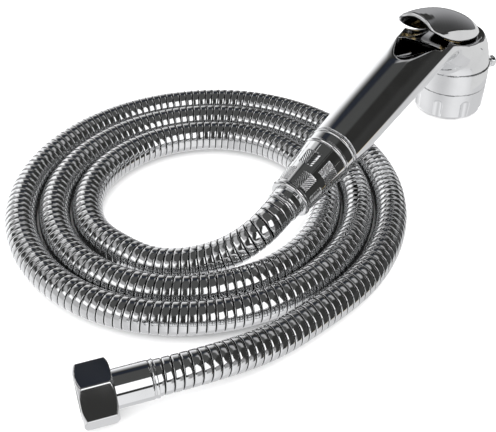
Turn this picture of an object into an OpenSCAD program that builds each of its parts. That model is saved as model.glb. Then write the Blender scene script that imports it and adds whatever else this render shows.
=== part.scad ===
// Handheld bath sprayer: a chromed handset with a thumb lever, a coiled metal hose with a tap nut,
// and the valve that the lever opens. Units are millimetres, +Z is up.
// The origin is on the floor, on the axis of the spray head. The handle runs towards -X.

/* [Spray head] */
// Diameter of the head at its middle band
head_d = 37; // [35:0.5:40]
// Height of the fluted spray ring
ring_h = 15; // [13:0.5:17]
// Height of the middle band
band_h = 11.5; // [10:0.5:14]
// Number of grip flutes round the spray ring
flute_count = 8; // [6:1:14]
// Depth of a grip flute
flute_depth = 0.9; // [0.4:0.1:1.2]
// Diameter of one spray jet
jet_d = 1.3; // [0.8:0.1:1.6]
// Rings of jets in the spray face
jet_rings = 3; // [2:1:3]

/* [Handle] */
// Slope of the handle, down towards the hose
handle_slope = 12.5; // [11:0.25:13.5]
// Height at which the handle's axis crosses the axis of the head
handle_rise = 58.6; // [57.5:0.1:59.5]
// Length of the handle, measured along its axis from the head's axis
handle_len = 115.5; // [105:0.5:135]
// Diameter of the handle's taper, measured on the head's axis
handle_d = 28.4; // [27:0.2:28.6]
// Diameter of the handle at its collar
handle_end_d = 23; // [22.4:0.1:24]

/* [Thumb lever] */
// Outer width of the hooded lever
lever_w = 22.6; // [21.4:0.2:22.8]
// Wall of the lever
lever_wall = 1.8; // [1.4:0.1:2.2]
// Angle through which the lever can be pressed
lever_travel = 6; // [4:0.5:6.5]

/* [Hose] */
// Outer diameter of the hose over its ribs
hose_d = 14; // [13:0.1:14.1]
// Bore of the hose
hose_bore = 8; // [6:0.5:9]
// Depth of the groove between two ribs
rib_depth = 0.7; // [0.3:0.1:1]
// Radius of the coil where the hose first lies along it
coil_r = 43.2; // [42:0.1:46]
// Step outwards of each turn
coil_pitch = 14.8; // [14.7:0.1:16]
// How far the coil is drawn out of round
coil_oval = 2; // [0:0.25:3]

/* [Tap end] */
// Width of the hex nut across its flats
nut_af = 22; // [21.6:0.1:25]
// Length of the hex nut
nut_len = 13; // [12:0.5:17]
// Diameter of the nut's thread, drawn as a plain bore
thread_d = 18.6; // [18:0.1:19]

/* [Hidden] */
$fn = 64;

// fits and seams
seam = 0.2;            // open seam between two rings of the head
running = 0.06;        // radial clearance of a part that turns or slides on another
pocket_gap = 0.7;      // room round the lever where it sinks into the body
rim_gap = 1;           // open line under the rim of the lever
seat_gap = 0.12;       // closed valve seal below its seat, and lever pad above the stem
fit_gap = 0.02;        // radial clearance of parts that are fixed in one another

// head stack, from the floor up
head_r = head_d / 2;
band_z = ring_h + seam / 2;
body_z = ring_h + band_h;
dome_arc = 42;         // radius of the dome's side in section
dome_belly = body_z - 6.5;
dome_top = body_z + 17.5;
hub_r = 12;
hub_flange_r = 15.5;
hub_neck_r = 10.5;
hub_neck_top = body_z + 4.5;
hub_bore_r = 5.2;
hub_outlet_r = 9;
seat_t = 2;
seat_z = hub_neck_top - seat_t;
seat_r = 3.1;
face_r = 16;
face_t = 2;
face_z = 1;
face_lip = 1;
gasket_t = 0.8;
shoulder_t = 3.8;
hub_flange_t = 3;
hub_flange_z = ring_h - shoulder_t - hub_flange_t - seam / 2;
jet_step = 4.2;

// grip flutes of the spray ring, and the peg on the band
flute_r = 2.4;
flute_top = ring_h * 0.58;
flute_turn = 10;       // angle of the first flute from +X
ring_edge = 2.5;       // rounding of the ring's lower edge
peg_turn = -35;        // angle of the peg from +X
peg_stem_r = 1.8;
peg_head_r = 3.1;
peg_reach = 6.6;

// valve, on an axis a little behind the head's own
valve_x = -4;
chamber_r = 4.6;
chamber_top = body_z + 8.5;
stem_r = 2;
gland_r = 3.9;
gland_flange_r = 5.3;
gland_seat = body_z + 16;
gland_top = gland_seat + 2;
stem_top = gland_top + 1.8;
seal_r = 4.4;
seal_t = 1.7;
stem_flange_t = 2;
stem_flange_z = seat_z - seat_gap - seal_t - stem_flange_t;
spring_z = hub_flange_z + 5;
spring_r = 4;
oring_r = 0.8;         // radius of an O-ring's own section
reach = 40;            // how far a cutting form runs past what it cuts

// lever: a hood spanned by balls, each as [distance behind the head's axis, height, inset of its radius]
lever_r = lever_w / 2;
lever_balls = [
  [1.5, body_z + 12.7, -0.5], [18.4, body_z + 23.6, 0], [34, body_z + 31.1, 0.2],
  [49.4, body_z + 35.9, 0.4], [57, body_z + 37.6, 0.5]
];
lever_rim = [[-14, body_z + 16.5], [24, body_z + 14], [64, body_z + 53]];
lever_end = 51.6;      // distance behind the head's axis at which the open tail is cut off
pin_x = 5.5;
pin_z = body_z + 12.5;
pin_r = 1.5;
pin_half = 8.5;
tab_half = 3.2;
tab_r = 3.2;
slot_gap = 0.45;
slot_back = 1.1;       // extra room behind the tab for its swing
pad_r = 3;

// handle
handle_r = handle_d / 2;
handle_end_r = handle_end_d / 2;
scoop_z = body_z + 30.5;
scoop_balls = [[39, body_z + 33, 10.6], [60.5, body_z + 33, 3.3]];
passage_r = 3.2;
passage_drop = 7.3;
passage_turn = 30;     // distance behind the head's axis where the passage dips to the valve
socket_r = 7.8;
socket_len = 12;
grip_hollow_r = 7;
grip_hollow = 68;      // distance along the handle's axis at which its hollow starts

// handle end, as distances along the handle's axis
collar_len = 8.3;
collar_end = handle_len + collar_len;
nipple_end = collar_end + 7;
nipple_r = 9.3;
nipple_bore = 5;
washer_t = 2;
flange_t = 2.6;
nut_start = collar_end + seam;
flange_start = nipple_end + washer_t;
nut_shoulder = flange_start + flange_t + seam;
sleeve_end = nut_start + 26.5;
sleeve_r = handle_end_r - 0.3;
sleeve_end_r = sleeve_r - 2;
lip_r = sleeve_end_r + 0.5;
lip_len = 2.4;
ferrule_r = hose_d / 2 + 0.5;
ferrule_end = sleeve_end + 5.5;
barb_r = hose_bore / 2 - 0.3;
barb_bore = barb_r - 1;
barb_len = 12;

// hose route: it drops from the handle to the floor, winds outwards, and runs off to the tap nut
hose_r = hose_d / 2;
hose_sides = 8;
rib_step = 6.8;
exit_x = -ferrule_end * cos(handle_slope);
exit_z = handle_rise - ferrule_end * sin(handle_slope);
exit_dir = [-cos(handle_slope), 0, -sin(handle_slope)];
coil_c = [exit_x - 1.2, coil_r + 2.3];
oval_turn = 56;        // turn at which the coil is widest
coil_from = 95;        // turn, in degrees past the handle, where the lead meets the coil
coil_ease = 140;       // turn where the coil has settled to its steady step
coil_to = 1091;        // turn where the coil ends
coil_tuck = 2.4;       // how far the lead's join is tucked in
// lead between its straight ends, as [turn, distance outside the coil's first turn, height]
lead_via = [[34, 0.5, 12], [52, 0, 9.5], [59, -0.8, 8]];
// tail between its straight ends, measured from the end of the coil
tail_via = [[-33, 10, 9]];
nut_turn = 4;          // the nut leans a little off one of its flats
tail_end = [-61, 25, nut_af / sqrt(3) * cos(30 - nut_turn)];
tail_turn = 147;       // heading of the tap end
tail_dir = [cos(tail_turn), sin(tail_turn), 0];

// tap end, as distances past the end of the hose
tap_ferrule_len = 15.6;
tap_flange_t = 2;
tap_flange_r = thread_d / 2 - 0.5;
nut_wall = 2.5;
nut_chamfer = 1.2;
thread_relief = 0.5;    // room behind the thread for the flange and the washer
nut_back = tap_ferrule_len + seam;
tap_flange_start = nut_back + nut_wall + seam;

echo(hose_length = round(total(lead_path) + total(coil_path) + total(tail_path)));
union() {  // hose_coil
  echo(coil_least_gap = coil_gap(resampled(coil_path, 6)));
  echo(lead_least_gap = near(resampled(lead_path, 4), second_turn) - hose_d);
}

// ---- curves ----

function curve3(p, t) = pow(1 - t, 2) * p[0] + 2 * t * (1 - t) * p[1] + t * t * p[2];
function curve4(p, t) =
  pow(1 - t, 3) * p[0] + 3 * t * pow(1 - t, 2) * p[1] + 3 * t * t * (1 - t) * p[2] + pow(t, 3) * p[3];
function arc(c, r, a0, a1, n) = [for (i = [0:n]) c + r * [cos(a0 + (a1 - a0) * i / n), sin(a0 + (a1 - a0) * i / n)]];
function unit(v) = v / norm(v);

// smooth line through points; the first and last spans stay straight
function smooth(p) = concat(
  [p[0]],
  [for (i = [1:len(p) - 3], t = [0:0.1:0.95])
    curve4([p[i], p[i] + (p[i + 1] - p[i - 1]) / 6, p[i + 1] - (p[i + 2] - p[i]) / 6, p[i + 1]], t)],
  [p[len(p) - 2], p[len(p) - 1]]
);

// lengths along a line, and the line at even steps of them
function lengths(p) = [for (i = 0, s = 0; i < len(p); i = i + 1, s = i < len(p) ? s + norm(p[i] - p[i - 1]) : s) s];
function total(p) = let (s = lengths(p)) s[len(s) - 1];
function column(p, s, k) = [for (i = [0:len(p) - 1]) [s[i], p[i][k]]];
function even(p, n) =
  let (s = lengths(p), x = column(p, s, 0), y = column(p, s, 1), z = column(p, s, 2), all = s[len(s) - 1])
  [for (i = [0:n]) let (d = all * i / n) [lookup(d, x), lookup(d, y), lookup(d, z)]];
function resampled(p, step) = even(p, round(total(p) / step));

// ---- hose route ----

function turn_r(a) = coil_r + coil_pitch * a / 360 + coil_oval * cos(2 * (a + oval_turn));
function turn_at(a, out = 0, z = hose_r) =
  let (r = turn_r(a) + out) [coil_c[0] + r * cos(-90 - a), coil_c[1] + r * sin(-90 - a), z];
function turn_dir(a) = unit(turn_at(a + 0.5) - turn_at(a - 0.5));

exit = [exit_x, 0, exit_z];
join = turn_at(coil_from, -coil_tuck);
join_dir = turn_dir(coil_from);
lead_path = smooth(concat(
  [exit, exit + hose_d * exit_dir],
  [for (v = lead_via) turn_at(v[0], v[1], v[2])],
  [join - hose_d * join_dir, join]
));
coil_ease_pts = [
  join + hose_d * join_dir, join + 1.3 * hose_d * join_dir,
  turn_at(coil_ease) - 0.6 * hose_d * turn_dir(coil_ease), turn_at(coil_ease)
];
coil_path = concat(
  [join],
  [for (t = [0:0.05:0.97]) curve4(coil_ease_pts, t)],
  [for (a = [coil_ease:3:coil_to]) turn_at(a)],
  [turn_at(coil_to) + hose_d * turn_dir(coil_to)]
);
tail_start = turn_at(coil_to) + hose_d * turn_dir(coil_to);
tail_base = [tail_start[0], tail_start[1], 0];
tail_stop = tail_base + tail_end;
tail_path = smooth(concat(
  [tail_start, tail_start + hose_d * turn_dir(coil_to)],
  [for (v = tail_via) tail_base + v],
  [tail_stop - hose_d * tail_dir, tail_stop]
));

// least distances: of one line from another, and of the coil from its own next turns
second_turn = [for (a = [coil_from + 270:1:coil_from + 540]) turn_at(a)];
function near(p, q) = min([for (a = p, b = q) norm(a - b)]);
function coil_gap(p) = min([for (i = [0:len(p) - 1], j = [i + 24:1:len(p) - 1]) norm(p[i] - p[j])]) - hose_d;

// a tube with a bore along a line: its outside steps between crest and groove, its ends are flat;
// radii are measured to the middles of its flats
module ribbed_tube(path) {
  ribs = round(total(path) / rib_step);
  outer = even(path, 2 * ribs);
  inner = even(path, ceil(ribs / 2));
  n = hose_sides;
  a = len(outer);
  b = len(inner);
  points = concat(
    [for (i = [0:a - 1], j = [0:n - 1]) ring_point(outer, i, j, i % 2 == 1 ? hose_r : hose_r - rib_depth)],
    [for (i = [0:b - 1], j = [0:n - 1]) ring_point(inner, i, j, hose_bore / 2)]
  );
  polyhedron(points, concat(
    skin(0, a, false), skin(a * n, b, true),
    rim(0, a * n, false), rim((a - 1) * n, (a + b - 1) * n, true)
  ));
}

function ring_point(p, i, j, r) =
  let (
    last = len(p) - 1,
    dir = unit(p[min(i + 1, last)] - p[max(i - 1, 0)]),
    side = unit(cross(dir, [0, 0, 1])),
    up = cross(side, dir),
    t = 360 * (j + 0.5) / hose_sides
  ) p[i] + r / cos(180 / hose_sides) * (cos(t) * side + sin(t) * up);
function skin(first, rings, flip) = [
  for (i = [0:rings - 2], j = [0:hose_sides - 1], k = [0, 1])
    let (
      n = hose_sides, p = first + i * n + j, q = first + i * n + (j + 1) % n,
      f = k == 0 ? [p, q, q + n] : [p, q + n, p + n]
    ) flip ? [f[2], f[1], f[0]] : f
];
function rim(outer, inner, flip) = [
  for (j = [0:hose_sides - 1], k = [0, 1])
    let (
      m = (j + 1) % hose_sides,
      f = k == 0 ? [outer + j, inner + j, inner + m] : [outer + j, inner + m, outer + m]
    ) flip ? [f[2], f[1], f[0]] : f
];

// ---- placing ----

// local +Z runs down the handle, local +X is the handle's upper side
module along_handle(s) {
  translate([0, 0, handle_rise]) rotate([0, -90 - handle_slope, 0]) translate([0, 0, s]) children();
}

// local +Z runs out along the tap end
module at_tap(s) {
  translate(tail_stop + s * tail_dir) rotate([0, 90, tail_turn]) children();
}

// a tube standing on z = 0
module ring(h, r_out, r_in) {
  difference() {
    cylinder(h = h, r = r_out);
    translate([0, 0, -1]) cylinder(h = h + 2, r = r_in);
  }
}

// a side profile given as [distance behind the head's axis, height], as a slab across the handset
module side_slab(points, half = reach) {
  rotate([90, 0, 0]) translate([0, 0, -half]) linear_extrude(2 * half) mirror([1, 0]) polygon(points);
}

// ---- lever ----

function lever_turned(p, angle) =
  let (d = p - [-pin_x, pin_z])
  [-pin_x + d[0] * cos(angle) + d[1] * sin(angle), pin_z - d[0] * sin(angle) + d[1] * cos(angle)];
function rim_line(p, drop) = [for (t = [0:0.05:1.001]) curve3(p, t) - [0, drop]];

// all that lies above a rim line
module above_rim(p, drop) {
  side_slab(concat(
    [[-reach, p[0][1] - drop]], rim_line(p, drop),
    [[p[2][0] + reach, p[2][1] + reach], [-reach, p[2][1] + 2 * reach]]
  ));
}

// the hood's solid form, or all that it sweeps when it turns through the given angles
module lever_hull(grow, angles = [0]) {
  hull() for (b = lever_balls, a = angles) let (p = lever_turned([b[0], b[1]], a))
    translate([-p[0], 0, p[1]]) sphere(r = lever_r - b[2] + grow, $fn = 32);
}

module lever() {
  color("silver") {
    difference() {
      intersection() {
        lever_hull(0);
        above_rim(lever_rim, 0);
      }
      lever_hull(-lever_wall);
      translate([-lever_end - reach, -reach, 0]) cube([reach, 2 * reach, 4 * reach]);
    }
    intersection() {
      lever_hull(-lever_wall / 2);
      translate([valve_x, 0, stem_top + seat_gap]) cylinder(h = 30, r = pad_r);
    }
    difference() {
      union() {
        intersection() {
          lever_hull(-lever_wall / 2);
          translate([pin_x - tab_r, -tab_half, pin_z]) cube([2 * tab_r, 2 * tab_half, 30]);
        }
        translate([pin_x, tab_half, pin_z]) rotate([90, 0, 0]) cylinder(h = 2 * tab_half, r = tab_r);
        translate([pin_x - tab_r, -tab_half, pin_z]) cube([2 * tab_r, 2 * tab_half, 5]);
      }
      translate([pin_x, 20, pin_z]) rotate([90, 0, 0]) cylinder(h = 40, r = pin_r + running);
    }
  }
}

module lever_pin() {
  color("dimgray") translate([pin_x, pin_half, pin_z]) rotate([90, 0, 0]) cylinder(h = 2 * pin_half, r = pin_r);
}

// ---- body ----

module dome() {
  belly = [head_r - dome_arc, dome_belly];
  a0 = asin((body_z - dome_belly) / dome_arc);
  a1 = asin((dome_top - dome_belly) / dome_arc);
  rotate_extrude() polygon(concat([[0, dome_top], [0, body_z]], arc(belly, dome_arc, a0, a1, 12)));
}

module body() {
  taper = (handle_r - handle_end_r) / handle_len;
  neck_s = 26;
  color("silver") difference() {
    union() {
      dome();
      along_handle(-2) cylinder(h = handle_len + 2, r1 = handle_r + 2 * taper, r2 = handle_end_r);
      hull() {
        translate([0, 0, body_z + 3]) cylinder(h = 6, r = head_r - 2.4, $fn = 32);
        along_handle(neck_s) sphere(r = handle_r - taper * neck_s - 0.4, $fn = 32);
      }
    }
    above_rim(lever_rim, rim_gap);
    translate([-handle_len, -reach, scoop_z]) cube([handle_len + reach, 2 * reach, reach]);
    intersection() {
      lever_hull(pocket_gap, [0, lever_travel]);
      above_rim([for (p = lever_rim) lever_turned(p, lever_travel)], pocket_gap);
    }
    hull() for (b = scoop_balls) translate([-b[0], 0, b[1]]) sphere(r = b[2], $fn = 32);
    // slot and hole for the lever's tab and pin
    translate([pin_x, tab_half + slot_gap, pin_z]) rotate([90, 0, 0])
      cylinder(h = 2 * (tab_half + slot_gap), r = tab_r + slot_gap);
    translate([pin_x - tab_r - slot_back, -tab_half - slot_gap, pin_z])
      cube([2 * tab_r + slot_back + slot_gap, 2 * (tab_half + slot_gap), 30]);
    translate([pin_x, pin_half + fit_gap, pin_z]) rotate([90, 0, 0])
      cylinder(h = 2 * (pin_half + fit_gap), r = pin_r + fit_gap);
    // valve chamber, gland bore and hub socket
    translate([valve_x, 0, body_z - 1]) cylinder(h = chamber_top - body_z + 1, r = chamber_r);
    translate([valve_x, 0, body_z]) cylinder(h = 40, r = gland_r + fit_gap);
    translate([valve_x, 0, gland_seat]) cylinder(h = 20, r = gland_flange_r + 0.3);
    translate([0, 0, body_z - 1]) cylinder(h = hub_neck_top - body_z + 1 + fit_gap, r = hub_neck_r + fit_gap);
    // water passage: along the lower side of the handle, then down to the valve
    passage(passage_start(), passage_dip());
    passage(passage_dip(), [valve_x, 0, body_z + 6.5]);
    translate(passage_dip()) sphere(r = passage_r + 0.25);
    along_handle(handle_len - socket_len) cylinder(h = socket_len + 1, r = socket_r + fit_gap);
    along_handle(grip_hollow) cylinder(h = handle_len - grip_hollow, r = grip_hollow_r);
  }
}

function handle_point(s, up) = [
  -s * cos(handle_slope) - up * sin(handle_slope), 0, handle_rise - s * sin(handle_slope) + up * cos(handle_slope)
];
function passage_dip() = handle_point(passage_turn / cos(handle_slope), -passage_drop);
function passage_start() = handle_point(handle_len - socket_len + 1, -passage_drop + 3);

module passage(p, q) {
  d = q - p;
  translate(p) rotate([0, atan2(sqrt(d[0] * d[0] + d[1] * d[1]), d[2]), atan2(d[1], d[0])])
    cylinder(h = norm(d), r = passage_r);
}

// ---- valve ----

module valve_gland() {
  color("goldenrod") translate([valve_x, 0, 0]) difference() {
    union() {
      translate([0, 0, chamber_top]) cylinder(h = gland_top - chamber_top, r = gland_r);
      translate([0, 0, gland_seat]) cylinder(h = gland_top - gland_seat, r = gland_flange_r);
    }
    translate([0, 0, chamber_top - 1]) cylinder(h = 20, r = stem_r + running);
    translate([0, 0, chamber_top - 1]) cylinder(h = 3, r = stem_r + 2 * oring_r);
  }
}

module gland_oring() {
  color("black") translate([valve_x, 0, chamber_top + 2 - oring_r]) rotate_extrude()
    translate([stem_r + oring_r + 0.02, 0]) circle(r = oring_r - 0.04, $fn = 24);
}

module valve_stem() {
  color("gainsboro") translate([valve_x, 0, 0]) {
    translate([0, 0, stem_flange_z - 6]) cylinder(h = stem_top - 1 - stem_flange_z + 6, r = stem_r);
    intersection() {
      translate([0, 0, stem_top - 2.6]) sphere(r = 2.6);
      translate([0, 0, stem_top - 1.5]) cylinder(h = 2, r = stem_r);
    }
    translate([0, 0, stem_flange_z]) cylinder(h = stem_flange_t, r = seal_r - 0.2);
  }
}

module valve_seal() {
  color("black") translate([valve_x, 0, stem_flange_z + stem_flange_t]) ring(seal_t, seal_r, stem_r);
}

module valve_spring() {
  color("gray") translate([valve_x, 0, spring_z]) ring(stem_flange_z - spring_z, spring_r, spring_r - 0.9);
}

// ---- head ----

module nozzle_hub() {
  color("goldenrod") difference() {
    union() {
      translate([0, 0, hub_flange_z]) cylinder(h = hub_neck_top - hub_flange_z, r = hub_neck_r);
      translate([0, 0, hub_flange_z]) cylinder(h = body_z - hub_flange_z, r = hub_r);
      translate([0, 0, hub_flange_z]) cylinder(h = hub_flange_t, r = hub_flange_r);
    }
    translate([valve_x, 0, 0]) cylinder(h = hub_neck_top + 1, r = seat_r);
    translate([valve_x, 0, spring_z]) cylinder(h = seat_z - spring_z, r = hub_bore_r);
    translate([0, 0, 0]) cylinder(h = spring_z - 2, r = hub_outlet_r);
    translate([0, 0, body_z + 1.6]) rotate_extrude() translate([hub_neck_r, 0]) circle(r = oring_r + 0.02, $fn = 24);
  }
}

module hub_oring() {
  color("black") translate([0, 0, body_z + 1.6]) difference() {
    rotate_extrude() translate([hub_neck_r, 0]) circle(r = oring_r, $fn = 24);
    translate([0, 0, -2]) ring(4, hub_neck_r + 3, hub_neck_r);
  }
}

module head_band() {
  color("silver") difference() {
    translate([0, 0, band_z]) ring(band_h - seam, head_r, hub_r + fit_gap);
    rotate([0, 0, peg_turn]) translate([hub_r, 0, band_z + band_h * 0.52]) rotate([0, 90, 0])
      cylinder(h = 20, r = peg_stem_r + fit_gap);
  }
}

module band_peg() {
  color("silver") rotate([0, 0, peg_turn]) translate([hub_r + 1, 0, band_z + band_h * 0.52]) rotate([0, 90, 0]) {
    cylinder(h = head_r - hub_r - 1 + peg_reach - 2, r = peg_stem_r);
    translate([0, 0, head_r - hub_r - 1 + peg_reach - 3.6]) cylinder(h = 2, r = peg_head_r);
    translate([0, 0, head_r - hub_r - 1 + peg_reach - 1.6]) intersection() {
      translate([0, 0, -1.6]) sphere(r = sqrt(peg_head_r * peg_head_r + 2.56));
      cylinder(h = 3, r = peg_head_r);
    }
  }
}

module spray_ring() {
  color("silver") difference() {
    rotate_extrude() polygon(concat(
      [[head_r - 0.3 - ring_edge, 0]],
      arc([head_r - 0.5 - ring_edge, ring_edge], ring_edge, -80, 0, 8),
      [[head_r - 0.1, ring_h * 0.75], [head_r, ring_h - seam / 2],
       [hub_r + running, ring_h - seam / 2], [hub_r + running, ring_h - shoulder_t],
       [face_r + fit_gap, ring_h - shoulder_t], [face_r + fit_gap, face_z], [face_r - face_lip, face_z], [face_r - face_lip, 0]]
    ));
    for (i = [0:flute_count - 1]) rotate([0, 0, flute_turn + 360 * i / flute_count])
      translate([head_r + flute_r - flute_depth - 0.3, 0, 0]) {
        translate([0, 0, -1]) cylinder(h = flute_top + 1, r = flute_r, $fn = 32);
        translate([0, 0, flute_top]) sphere(r = flute_r, $fn = 32);
      }
  }
}

module spray_face() {
  color("dimgray") difference() {
    union() {
      cylinder(h = face_z + face_t, r = face_r - face_lip - fit_gap);
      translate([0, 0, face_z]) cylinder(h = face_t, r = face_r);
    }
    for (k = [1:jet_rings], i = [0:6 * k - 1]) rotate([0, 0, 60 * i / k])
      translate([k * jet_step, 0, -1]) cylinder(h = 10, r = jet_d / 2, $fn = 16);
  }
}

module face_gasket() {
  color("black") translate([0, 0, face_z + face_t]) ring(gasket_t, face_r, face_r - 2.4);
}

// ---- handle end ----

module inlet_nipple() {
  color("goldenrod") along_handle(handle_len - socket_len + 0.5) difference() {
    union() {
      cylinder(h = nipple_end - handle_len + socket_len - 0.5, r = socket_r);
      translate([0, 0, collar_end - handle_len + socket_len - 0.5]) cylinder(h = nipple_end - collar_end, r = nipple_r);
    }
    translate([0, 0, -1]) cylinder(h = 60, r = nipple_bore);
    translate([0, 0, 3]) rotate_extrude() translate([socket_r, 0]) circle(r = oring_r + 0.02, $fn = 24);
  }
}

module nipple_oring() {
  color("black") along_handle(handle_len - socket_len + 3.5) difference() {
    rotate_extrude() translate([socket_r, 0]) circle(r = oring_r, $fn = 24);
    translate([0, 0, -2]) ring(4, socket_r + 3, socket_r);
  }
}

module handle_collar() {
  r = handle_end_r;
  color("silver") along_handle(handle_len) rotate_extrude() polygon([
    [socket_r + fit_gap, 0], [r - 0.3, 0], [r - 0.3, 0.4], [r + 0.2, 0.8], [r + 0.2, 2], [r - 0.3, 2.4],
    [r - 0.3, collar_len - 2.2], [r + 0.1, collar_len - 1.8], [r + 0.1, collar_len - 0.4], [r - 0.2, collar_len],
    [socket_r + fit_gap, collar_len]
  ]);
}

module inlet_washer() {
  color("black") along_handle(nipple_end) ring(washer_t, nipple_r - 0.3, nipple_bore);
}

module sleeve_nut() {
  len = sleeve_end - nut_start;
  color("silver") along_handle(nut_start) difference() {
    union() {
      cylinder(h = len - lip_len, r1 = sleeve_r, r2 = sleeve_end_r);
      translate([0, 0, len - lip_len / 2]) rotate_extrude() {
        translate([lip_r - lip_len / 2, 0]) circle(r = lip_len / 2, $fn = 24);
        translate([0, -lip_len / 2]) square([lip_r - lip_len / 2, lip_len]);
      }
    }
    translate([0, 0, -1]) cylinder(h = nut_shoulder - nut_start + 1, r = nipple_r + running);
    translate([0, 0, -1]) cylinder(h = len + 2, r = ferrule_r + running);
  }
}

module sleeve_ferrule() {
  color("silver") along_handle(flange_start) difference() {
    union() {
      cylinder(h = flange_t, r = nipple_r - 0.4);
      cylinder(h = ferrule_end - flange_start, r = ferrule_r);
    }
    translate([0, 0, -1]) cylinder(h = 60, r = barb_r + fit_gap);
  }
}

module sleeve_barb() {
  color("goldenrod") along_handle(flange_start) ring(ferrule_end - flange_start + barb_len, barb_r, barb_bore);
}

// ---- hose ----

module hose_lead() {
  color("lightgray") ribbed_tube(lead_path);
}

module hose_coil() {
  color("lightgray") ribbed_tube(coil_path);
}

module hose_tail() {
  color("lightgray") ribbed_tube(tail_path);
}

// ---- tap end ----

module tap_ferrule() {
  color("silver") at_tap(0) difference() {
    cylinder(h = tap_flange_start, r = ferrule_r);
    translate([0, 0, -1]) cylinder(h = 60, r = barb_r + fit_gap);
  }
}

module tap_barb() {
  len = barb_len + tap_flange_start + tap_flange_t;
  color("goldenrod") at_tap(-barb_len) difference() {
    union() {
      cylinder(h = len, r = barb_r);
      translate([0, 0, len - tap_flange_t]) cylinder(h = tap_flange_t, r = tap_flange_r);
    }
    translate([0, 0, -1]) cylinder(h = len + 2, r = barb_bore);
  }
}

module tap_washer() {
  color("black") at_tap(tap_flange_start + tap_flange_t) ring(washer_t, tap_flange_r, barb_r + 1);
}

module hex_nut() {
  color("silver") at_tap(nut_back) difference() {
    intersection() {
      rotate([0, 0, 30 + nut_turn]) cylinder(h = nut_len, r = nut_af / sqrt(3), $fn = 6);
      rotate_extrude() polygon([
        [0, 0], [nut_af / 2, 0], [nut_af / sqrt(3), nut_chamfer], [nut_af / sqrt(3), nut_len - nut_chamfer],
        [nut_af / 2, nut_len], [0, nut_len]
      ]);
    }
    translate([0, 0, nut_wall]) cylinder(h = nut_len, r = thread_d / 2);
    translate([0, 0, nut_wall]) cylinder(h = seam + tap_flange_t + washer_t, r = thread_d / 2 + thread_relief);
    translate([0, 0, -1]) cylinder(h = nut_len, r = ferrule_r + running);
  }
}

body();
valve_gland();
gland_oring();
nozzle_hub();
hub_oring();
head_band();
band_peg();
spray_ring();
spray_face();
face_gasket();
valve_stem();
valve_seal();
valve_spring();
lever();
lever_pin();
inlet_nipple();
nipple_oring();
handle_collar();
inlet_washer();
sleeve_nut();
sleeve_ferrule();
sleeve_barb();
hose_lead();
hose_coil();
hose_tail();
tap_ferrule();
tap_barb();
tap_washer();
hex_nut();
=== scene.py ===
# Handheld bath sprayer: chromed handset with a thumb lever, on a coiled ribbed metal hose with a tap nut.
# Lengths are in metres unless a name ends in _mm; the head stands on the floor at the origin.
import bpy
import math
import numpy as np
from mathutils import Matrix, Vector


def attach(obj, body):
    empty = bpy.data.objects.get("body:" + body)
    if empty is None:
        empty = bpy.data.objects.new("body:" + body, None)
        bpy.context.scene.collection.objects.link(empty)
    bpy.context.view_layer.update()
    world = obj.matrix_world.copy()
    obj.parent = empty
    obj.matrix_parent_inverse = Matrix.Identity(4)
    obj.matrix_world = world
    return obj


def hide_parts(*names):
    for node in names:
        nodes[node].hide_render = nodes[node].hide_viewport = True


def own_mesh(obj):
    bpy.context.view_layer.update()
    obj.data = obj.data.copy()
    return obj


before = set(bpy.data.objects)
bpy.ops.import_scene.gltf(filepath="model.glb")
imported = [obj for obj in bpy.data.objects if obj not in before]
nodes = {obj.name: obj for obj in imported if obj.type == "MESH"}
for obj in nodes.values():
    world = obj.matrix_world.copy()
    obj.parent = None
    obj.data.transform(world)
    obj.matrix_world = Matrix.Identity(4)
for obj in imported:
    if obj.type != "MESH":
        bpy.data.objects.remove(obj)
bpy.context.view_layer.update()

# ---- Camera ----
# A long lens looks down on the sprayer from over the tap nut, so that the coil lies in front and the
# handset leads away to the head.
view_data = bpy.data.cameras.new("view")
view_data.sensor_width = 36
view_data.lens = 65.32
view_data.clip_start = 0.01
view_data.clip_end = 50
view = bpy.data.objects.new("view", view_data)
bpy.context.scene.collection.objects.link(view)
view.location = (-0.3906, -0.1684, 0.2698)
view.rotation_mode = "QUATERNION"
view.rotation_quaternion = Vector((0.5990, 0.4680, -0.6498)).to_track_quat("-Z", "Y")
bpy.context.scene.camera = view

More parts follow.
